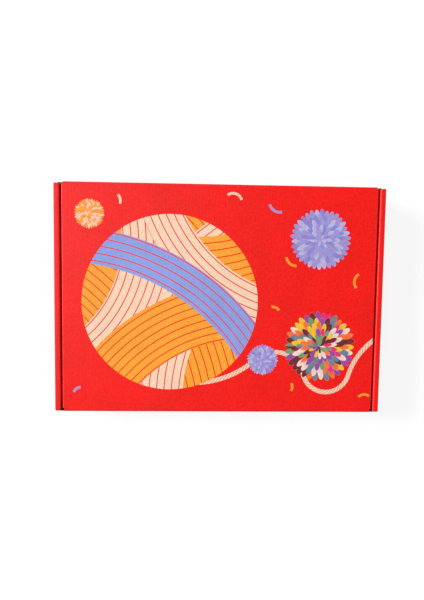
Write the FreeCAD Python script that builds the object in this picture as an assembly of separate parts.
import FreeCAD, Part

import math
import os

# A shut mailer box of corrugated board that holds a pom pom maker: two C-shaped plywood plates
# and a folded leaflet. Millimetres; x runs along the box, y from its front to its hinge, z up.
# The origin is under the middle of the base.

# Outside of the shut box
box_length = 330.0
box_width = 230.0
box_height = 40.0

# Corrugated board, which turns every fold about its inner face
board = 1.6
layer_slack = 0.4            # air between two layers of a roll-over side wall
ridge_setback = 1.4          # from the end of a ridge to the box's front or back face
ridge_notch_length = 2.4     # bevel at each end of a ridge, on its inner edge
ridge_notch_depth = 1.2
inner_wall_clearance = 0.5   # from the end of an inner wall to the front or back wall

# Lock tabs that hold the inner walls down in the base
tab_length = 28.0
tab_spacing = 110.0
tab_above_table = 0.2
slot_side_clearance = 0.15
slot_end_clearance = 0.5

# Dust flaps inside the side walls, bevelled at their free end
dust_flap_length = 70.0
dust_flap_lift = 0.2
dust_flap_bevel = 9.0

# Lid
lid_gap = 2.0                # from the lid's side to the ridge beside it
hinge_clearance = 0.2        # from the lid's rolled edge to the top of the back wall
back_wall_end_drop = 5.0     # how much lower the back wall is beside the lid

# Tuck flap: its crease rolls over the low front wall, and the flap leans in behind that wall
front_wall_drop = 5.0        # from the lid's top to the top edge of the front wall
tuck_clearance = 0.5
roll_overhang = 1.0          # how far the roll reaches over the front wall
roll_radius = 2.4
tuck_lean = 5.0              # degrees
tuck_side_clearance = 0.2    # to the planes of the two ears
tuck_taper = 7.0
tuck_corner_radius = 9.0
tuck_over_plates = 1.4       # from the plates' top to the flap's lower edge

# Ears on the lid's two sides
ear_foot_gap = 8.4           # from the base to the ears' lower edge
ear_front_relief = 3.8       # from the lid's front crease to the flat part of the ear
ear_back_relief = 2.4
ear_end_gap = 0.5            # from the ends of the ear's crease to the tuck flap and the back wall
ear_front_taper = 27.0
ear_back_taper = 7.0
ear_corner_radius = 12.0

# Pom pom maker plates
plate_thickness = 6.0
plate_wall_clearance = 10.0  # from a plate's edge to the box's front and back faces
plate_ring_width = 50.4      # from the hole to the outer edge
plate_mouth_angle = 122.0    # between the middles of the two ends, degrees
plate_end_bulge = 2.1        # how far each rounded end stands out past the ring's two edges
plate_fillet_radius = 15.0

# Instruction leaflet: one sheet folded once
leaflet_length = 210.0
leaflet_width = 148.0
leaflet_thickness = 1.0
paper = 0.25

# Layers of a side wall, from the outside in
half_length = box_length / 2
outer_wall_inside = half_length - board
dust_flap_outside = outer_wall_inside - layer_slack
dust_flap_inside = dust_flap_outside - board
inner_wall_outside = dust_flap_inside - layer_slack
inner_wall_inside = inner_wall_outside - board
lid_side = inner_wall_inside - lid_gap
ear_crease_x = lid_side - board

# Front and back walls, and the height of what they carry
half_width = box_width / 2
wall_inside = half_width - board
ridge_end = half_width - ridge_setback
wall_top = box_height - board
front_wall_top = box_height - front_wall_drop

# Lid hinge: the lid's back edge is a bead round this axis, half a board from the outside
hinge_y = half_width - board / 2
hinge_z = box_height - board / 2
back_wall_top = wall_top - hinge_clearance

# Tuck flap crease, on the lid's underside
tuck_crease_y = -(wall_inside - tuck_clearance - board)
tuck_half_length = ear_crease_x - tuck_side_clearance

# Contents
lower_plate_z = board
upper_plate_z = lower_plate_z + plate_thickness
leaflet_z = upper_plate_z + plate_thickness
tuck_bottom = leaflet_z + tuck_over_plates
plate_radius = half_width - plate_wall_clearance
plate_hole_radius = plate_radius - plate_ring_width
plate_end_radius = plate_ring_width / 2 + plate_end_bulge


def from_front(point, y):
    """A point drawn in x and z, at the depth y."""
    return FreeCAD.Vector(point[0], y, point[1])


def from_side(point, x):
    """A point drawn in y and z, at the place x."""
    return FreeCAD.Vector(x, point[0], point[1])


def from_above(point, z):
    """A point drawn in x and y, at the height z."""
    return FreeCAD.Vector(point[0], point[1], z)


def polar(centre, radius, angle):
    """The point at an angle, in degrees, on a circle."""
    turn = math.radians(angle)
    return (centre[0] + radius * math.cos(turn), centre[1] + radius * math.sin(turn))


def arc(centre, radius, first, last):
    """An arc's start, middle and end, from its two angles in degrees."""
    return [polar(centre, radius, angle) for angle in (first, (first + last) / 2, last)]


def prism(view, path, start, end):
    """The solid of a closed path of points and arcs drawn in one view, from start to end across it."""
    steps = [step if isinstance(step, list) else [step] for step in path]
    edges = []
    for step, following in zip(steps, steps[1:] + steps[:1]):
        corners = [view(point, start) for point in step]
        if len(corners) == 3:
            edges.append(Part.Arc(*corners).toShape())
        target = view(following[0], start)
        if not corners[-1].isEqual(target, board / 1000):
            edges.append(Part.makeLine(corners[-1], target))
    face = Part.Face(Part.Wire(edges))
    return face.extrude(view((0, 0), end) - view((0, 0), start))


def block(low, high):
    """A box between two corners."""
    size = [top - bottom for bottom, top in zip(low, high)]
    return Part.makeBox(*size, FreeCAD.Vector(*low))


def other_side(shape):
    """The same piece on the other side of the box's middle."""
    return shape.mirror(FreeCAD.Vector(0, 0, 0), FreeCAD.Vector(1, 0, 0))


def base_panel():
    """The floor of the tray, with a slot for each lock tab of the two inner walls."""
    panel = block((-outer_wall_inside, -wall_inside, 0), (outer_wall_inside, wall_inside, board))
    reach = tab_length / 2 + slot_end_clearance
    for middle in (-tab_spacing / 2, tab_spacing / 2):
        slot = block(
            (inner_wall_inside - slot_side_clearance, middle - reach, 0),
            (inner_wall_outside + slot_side_clearance, middle + reach, board),
        )
        panel = panel.cut(slot).cut(other_side(slot))
    return panel


def end_wall(top):
    """The front wall: a fold rounds its lower edge, and one at each end leads to the dust flaps."""
    plan = [
        (dust_flap_inside, -wall_inside),
        (-dust_flap_inside, -wall_inside),
        arc((-dust_flap_inside, -wall_inside), board, 180, 270),
        arc((dust_flap_inside, -wall_inside), board, 270, 360),
    ]
    section = [
        arc((-wall_inside, board), board, 180, 270),
        (-wall_inside, top),
        (-half_width, top),
    ]
    sheet = prism(from_above, plan, 0, top)
    return sheet.common(prism(from_side, section, -half_length, half_length))


def back_wall():
    """The back wall, lower at both ends, where the gaps beside the lid reach it."""
    wall = turned_to_back(end_wall(back_wall_top))
    corner = block(
        (lid_side, wall_inside - board, back_wall_top - back_wall_end_drop),
        (half_length, half_width, box_height),
    )
    return wall.cut(corner).cut(other_side(corner))


def turned_to_back(shape):
    """A piece of the front, turned half round to the back."""
    turned = shape.copy()
    turned.rotate(FreeCAD.Vector(0, 0, 0), FreeCAD.Vector(0, 0, 1), 180)
    return turned


def dust_flap():
    """The flap folded back from the front wall's left end, between the layers of the side wall."""
    top = wall_top - layer_slack
    bottom = board + dust_flap_lift
    tip = -wall_inside + dust_flap_length
    outline = [
        (-wall_inside, bottom),
        (tip - dust_flap_bevel, bottom),
        (tip, bottom + dust_flap_bevel),
        (tip, top - dust_flap_bevel),
        (tip - dust_flap_bevel, top),
        (-wall_inside, top),
    ]
    return prism(from_side, outline, -dust_flap_outside, -dust_flap_inside)


def outer_wall():
    """The outside layer of the right side wall, folded up from the base."""
    section = [
        arc((outer_wall_inside, board), board, 270, 360),
        (half_length, wall_top),
        (outer_wall_inside, wall_top),
    ]
    return prism(from_front, section, -ridge_end, ridge_end)


def ridge():
    """The strip over the right side wall, with a fold along both edges and bevelled ends."""
    section = [
        arc((outer_wall_inside, wall_top), board, 0, 90),
        arc((inner_wall_outside, wall_top), board, 90, 180),
    ]
    plan = [
        (half_length, -ridge_end),
        (half_length, ridge_end),
        (inner_wall_inside + ridge_notch_length, ridge_end),
        (inner_wall_inside, ridge_end - ridge_notch_depth),
        (inner_wall_inside, -ridge_end + ridge_notch_depth),
        (inner_wall_inside + ridge_notch_length, -ridge_end),
    ]
    strip = prism(from_front, section, -ridge_end, ridge_end)
    return strip.common(prism(from_above, plan, wall_top, box_height))


def inner_wall():
    """The inside layer of the right side wall, with two lock tabs that drop into the base."""
    end = wall_inside - inner_wall_clearance
    wall = block((inner_wall_inside, -end, board), (inner_wall_outside, end, wall_top))
    for middle in (-tab_spacing / 2, tab_spacing / 2):
        tab = block(
            (inner_wall_inside, middle - tab_length / 2, tab_above_table),
            (inner_wall_outside, middle + tab_length / 2, board),
        )
        wall = wall.fuse(tab)
    return wall.removeSplitter()


def lid_panel():
    """The flat of the lid, whose back edge is a bead round the hinge axis."""
    section = [
        (tuck_crease_y, wall_top),
        (tuck_crease_y, box_height),
        arc((hinge_y, hinge_z), board / 2, 90, -90),
    ]
    return prism(from_side, section, -ear_crease_x, ear_crease_x)


def ear():
    """The right ear: the fold along the lid's side, and the flap that hangs from it."""
    crease_front = tuck_crease_y + ear_end_gap
    crease_back = wall_inside - ear_end_gap
    fold_section = [(ear_crease_x, wall_top), arc((ear_crease_x, wall_top), board, 0, 90)]
    fold = prism(from_front, fold_section, crease_front, crease_back)
    bottom = board + ear_foot_gap
    front = tuck_crease_y + ear_front_relief
    back = wall_inside - ear_back_relief
    outline = [
        (back, wall_top),
        (front, wall_top),
        (front + ear_front_taper, bottom),
        (back - ear_back_taper, bottom),
    ]
    flap = prism(from_side, outline, ear_crease_x, lid_side)
    return rounded_foot(flap, ear_corner_radius, bottom).fuse(fold).removeSplitter()


def rounded_foot(flap, radius, bottom):
    """A flap with its two lower corners rounded."""
    corners = [
        edge
        for edge in flap.Edges
        if abs(edge.BoundBox.ZMin - bottom) < board / 10
        and edge.Length < 2 * board
        and edge.BoundBox.ZLength < board
    ]
    return flap.makeFillet(radius, corners)


def tuck_flap():
    """The flap that closes the front: a roll over the front wall, then a plate behind that wall."""
    roll_y = -(wall_inside + roll_overhang) + roll_radius
    roll_z = box_height - roll_radius
    roll = Part.makeCylinder(
        roll_radius,
        2 * tuck_half_length,
        FreeCAD.Vector(-tuck_half_length, roll_y, roll_z),
        FreeCAD.Vector(1, 0, 0),
    )
    lean = math.radians(tuck_lean)
    outward = (-board * math.cos(lean), -board * math.sin(lean))
    reach = (wall_top - tuck_bottom) / math.cos(lean)
    crease = (tuck_crease_y, wall_top)
    foot = (crease[0] + reach * math.sin(lean), tuck_bottom)
    plate_section = [
        crease,
        foot,
        (foot[0] + outward[0], foot[1] + outward[1]),
        (crease[0] + outward[0], crease[1] + outward[1]),
        (roll_y, box_height),
        (tuck_crease_y, box_height),
    ]
    behind_crease = block(
        (-tuck_half_length, tuck_crease_y, 0),
        (tuck_half_length, 0, box_height),
    )
    plate = prism(from_side, plate_section, -tuck_half_length, tuck_half_length)
    flap = plate.fuse(roll.cut(behind_crease)).removeSplitter()
    return flap.common(tuck_outline(foot[1] + outward[1]))


def tuck_outline(bottom):
    """The front view of the tuck flap: straight to the front wall's top, then tapered and rounded."""
    tip = tuck_half_length - tuck_taper
    return prism(
        from_front,
        [
            (tuck_half_length, box_height),
            (tuck_half_length, front_wall_top),
            arc((tip - tuck_corner_radius, bottom + tuck_corner_radius), tuck_corner_radius, 0, -90),
            arc((-tip + tuck_corner_radius, bottom + tuck_corner_radius), tuck_corner_radius, 270, 180),
            (-tuck_half_length, front_wall_top),
            (-tuck_half_length, box_height),
        ],
        -half_width,
        0,
    )


def between(first, second, centre, radius, far=False):
    """An arc round a centre from one point to another, by the near or the far side."""
    middle = [(one + other) / 2 - core for one, other, core in zip(first, second, centre)]
    scale = radius / math.hypot(*middle) * (-1 if far else 1)
    return [first, (centre[0] + middle[0] * scale, centre[1] + middle[1] * scale), second]


def touch_angle(reach, near, far):
    """The angle, in degrees, between two sides of a triangle, opposite the third side."""
    return math.degrees(math.acos((reach**2 + near**2 - far**2) / (2 * reach * near)))


def towards(centre, target, radius):
    """The point on a circle that faces a target."""
    angle = math.degrees(math.atan2(target[1] - centre[1], target[0] - centre[0]))
    return polar(centre, radius, angle)


def plate_end():
    """One end of the plate: the arcs from the outer circle round the rounded end to the hole."""
    middle = (0, 0)
    reach = (plate_radius + plate_hole_radius) / 2
    side = plate_mouth_angle / 2
    end = polar(middle, reach, side)
    spread = plate_end_radius + plate_fillet_radius
    outer = plate_radius + plate_fillet_radius
    inner = plate_hole_radius - plate_fillet_radius
    outer_turn = side + touch_angle(reach, outer, spread)
    inner_turn = side + touch_angle(reach, inner, spread)
    outer_centre = polar(middle, outer, outer_turn)
    inner_centre = polar(middle, inner, inner_turn)
    outer_touch = towards(end, outer_centre, plate_end_radius)
    inner_touch = towards(end, inner_centre, plate_end_radius)
    outer_start = polar(middle, plate_radius, outer_turn)
    inner_stop = polar(middle, plate_hole_radius, inner_turn)
    return [
        between(outer_start, outer_touch, outer_centre, plate_fillet_radius),
        between(outer_touch, inner_touch, end, plate_end_radius, far=True),
        between(inner_touch, inner_stop, inner_centre, plate_fillet_radius),
    ]


def maker_plate(bottom):
    """A C-shaped plywood plate, its mouth towards the right end of the box."""
    upper_end = plate_end()
    lower_end = [[(x, -y) for x, y in reversed(step)] for step in reversed(upper_end)]
    inner_arc = [upper_end[-1][-1], (-plate_hole_radius, 0), lower_end[0][0]]
    outer_arc = [lower_end[-1][-1], (-plate_radius, 0), upper_end[0][0]]
    path = upper_end + [inner_arc] + lower_end + [outer_arc]
    return prism(from_above, path, bottom, bottom + plate_thickness)


def instruction_leaflet():
    """A sheet folded once, its fold on the left."""
    fold = (-leaflet_length / 2 + leaflet_thickness / 2, leaflet_z + leaflet_thickness / 2)
    right = leaflet_length / 2
    inside = leaflet_thickness / 2 - paper
    section = [
        arc(fold, leaflet_thickness / 2, 90, 270),
        (right, leaflet_z),
        (right, leaflet_z + paper),
        arc(fold, inside, 270, 90),
        (right, leaflet_z + leaflet_thickness - paper),
        (right, leaflet_z + leaflet_thickness),
    ]
    return prism(from_front, section, -leaflet_width / 2, leaflet_width / 2)


os.makedirs("parts", exist_ok=True)

front_left_flap = dust_flap()
front_right_flap = other_side(front_left_flap)
pieces = {
    "base_panel": base_panel(),
    "front_wall": end_wall(front_wall_top),
    "back_wall": back_wall(),
    "left_outer_wall": other_side(outer_wall()),
    "right_outer_wall": outer_wall(),
    "left_ridge": other_side(ridge()),
    "right_ridge": ridge(),
    "left_inner_wall": other_side(inner_wall()),
    "right_inner_wall": inner_wall(),
    "front_left_dust_flap": front_left_flap,
    "front_right_dust_flap": front_right_flap,
    "back_left_dust_flap": turned_to_back(front_right_flap),
    "back_right_dust_flap": turned_to_back(front_left_flap),
    "lid_panel": lid_panel(),
    "left_ear": other_side(ear()),
    "right_ear": ear(),
    "tuck_flap": tuck_flap(),
    "lower_plate": maker_plate(lower_plate_z),
    "upper_plate": maker_plate(upper_plate_z),
    "instruction_leaflet": instruction_leaflet(),
}
for name, shape in pieces.items():
    shape.exportStep(f"parts/{name}.step")
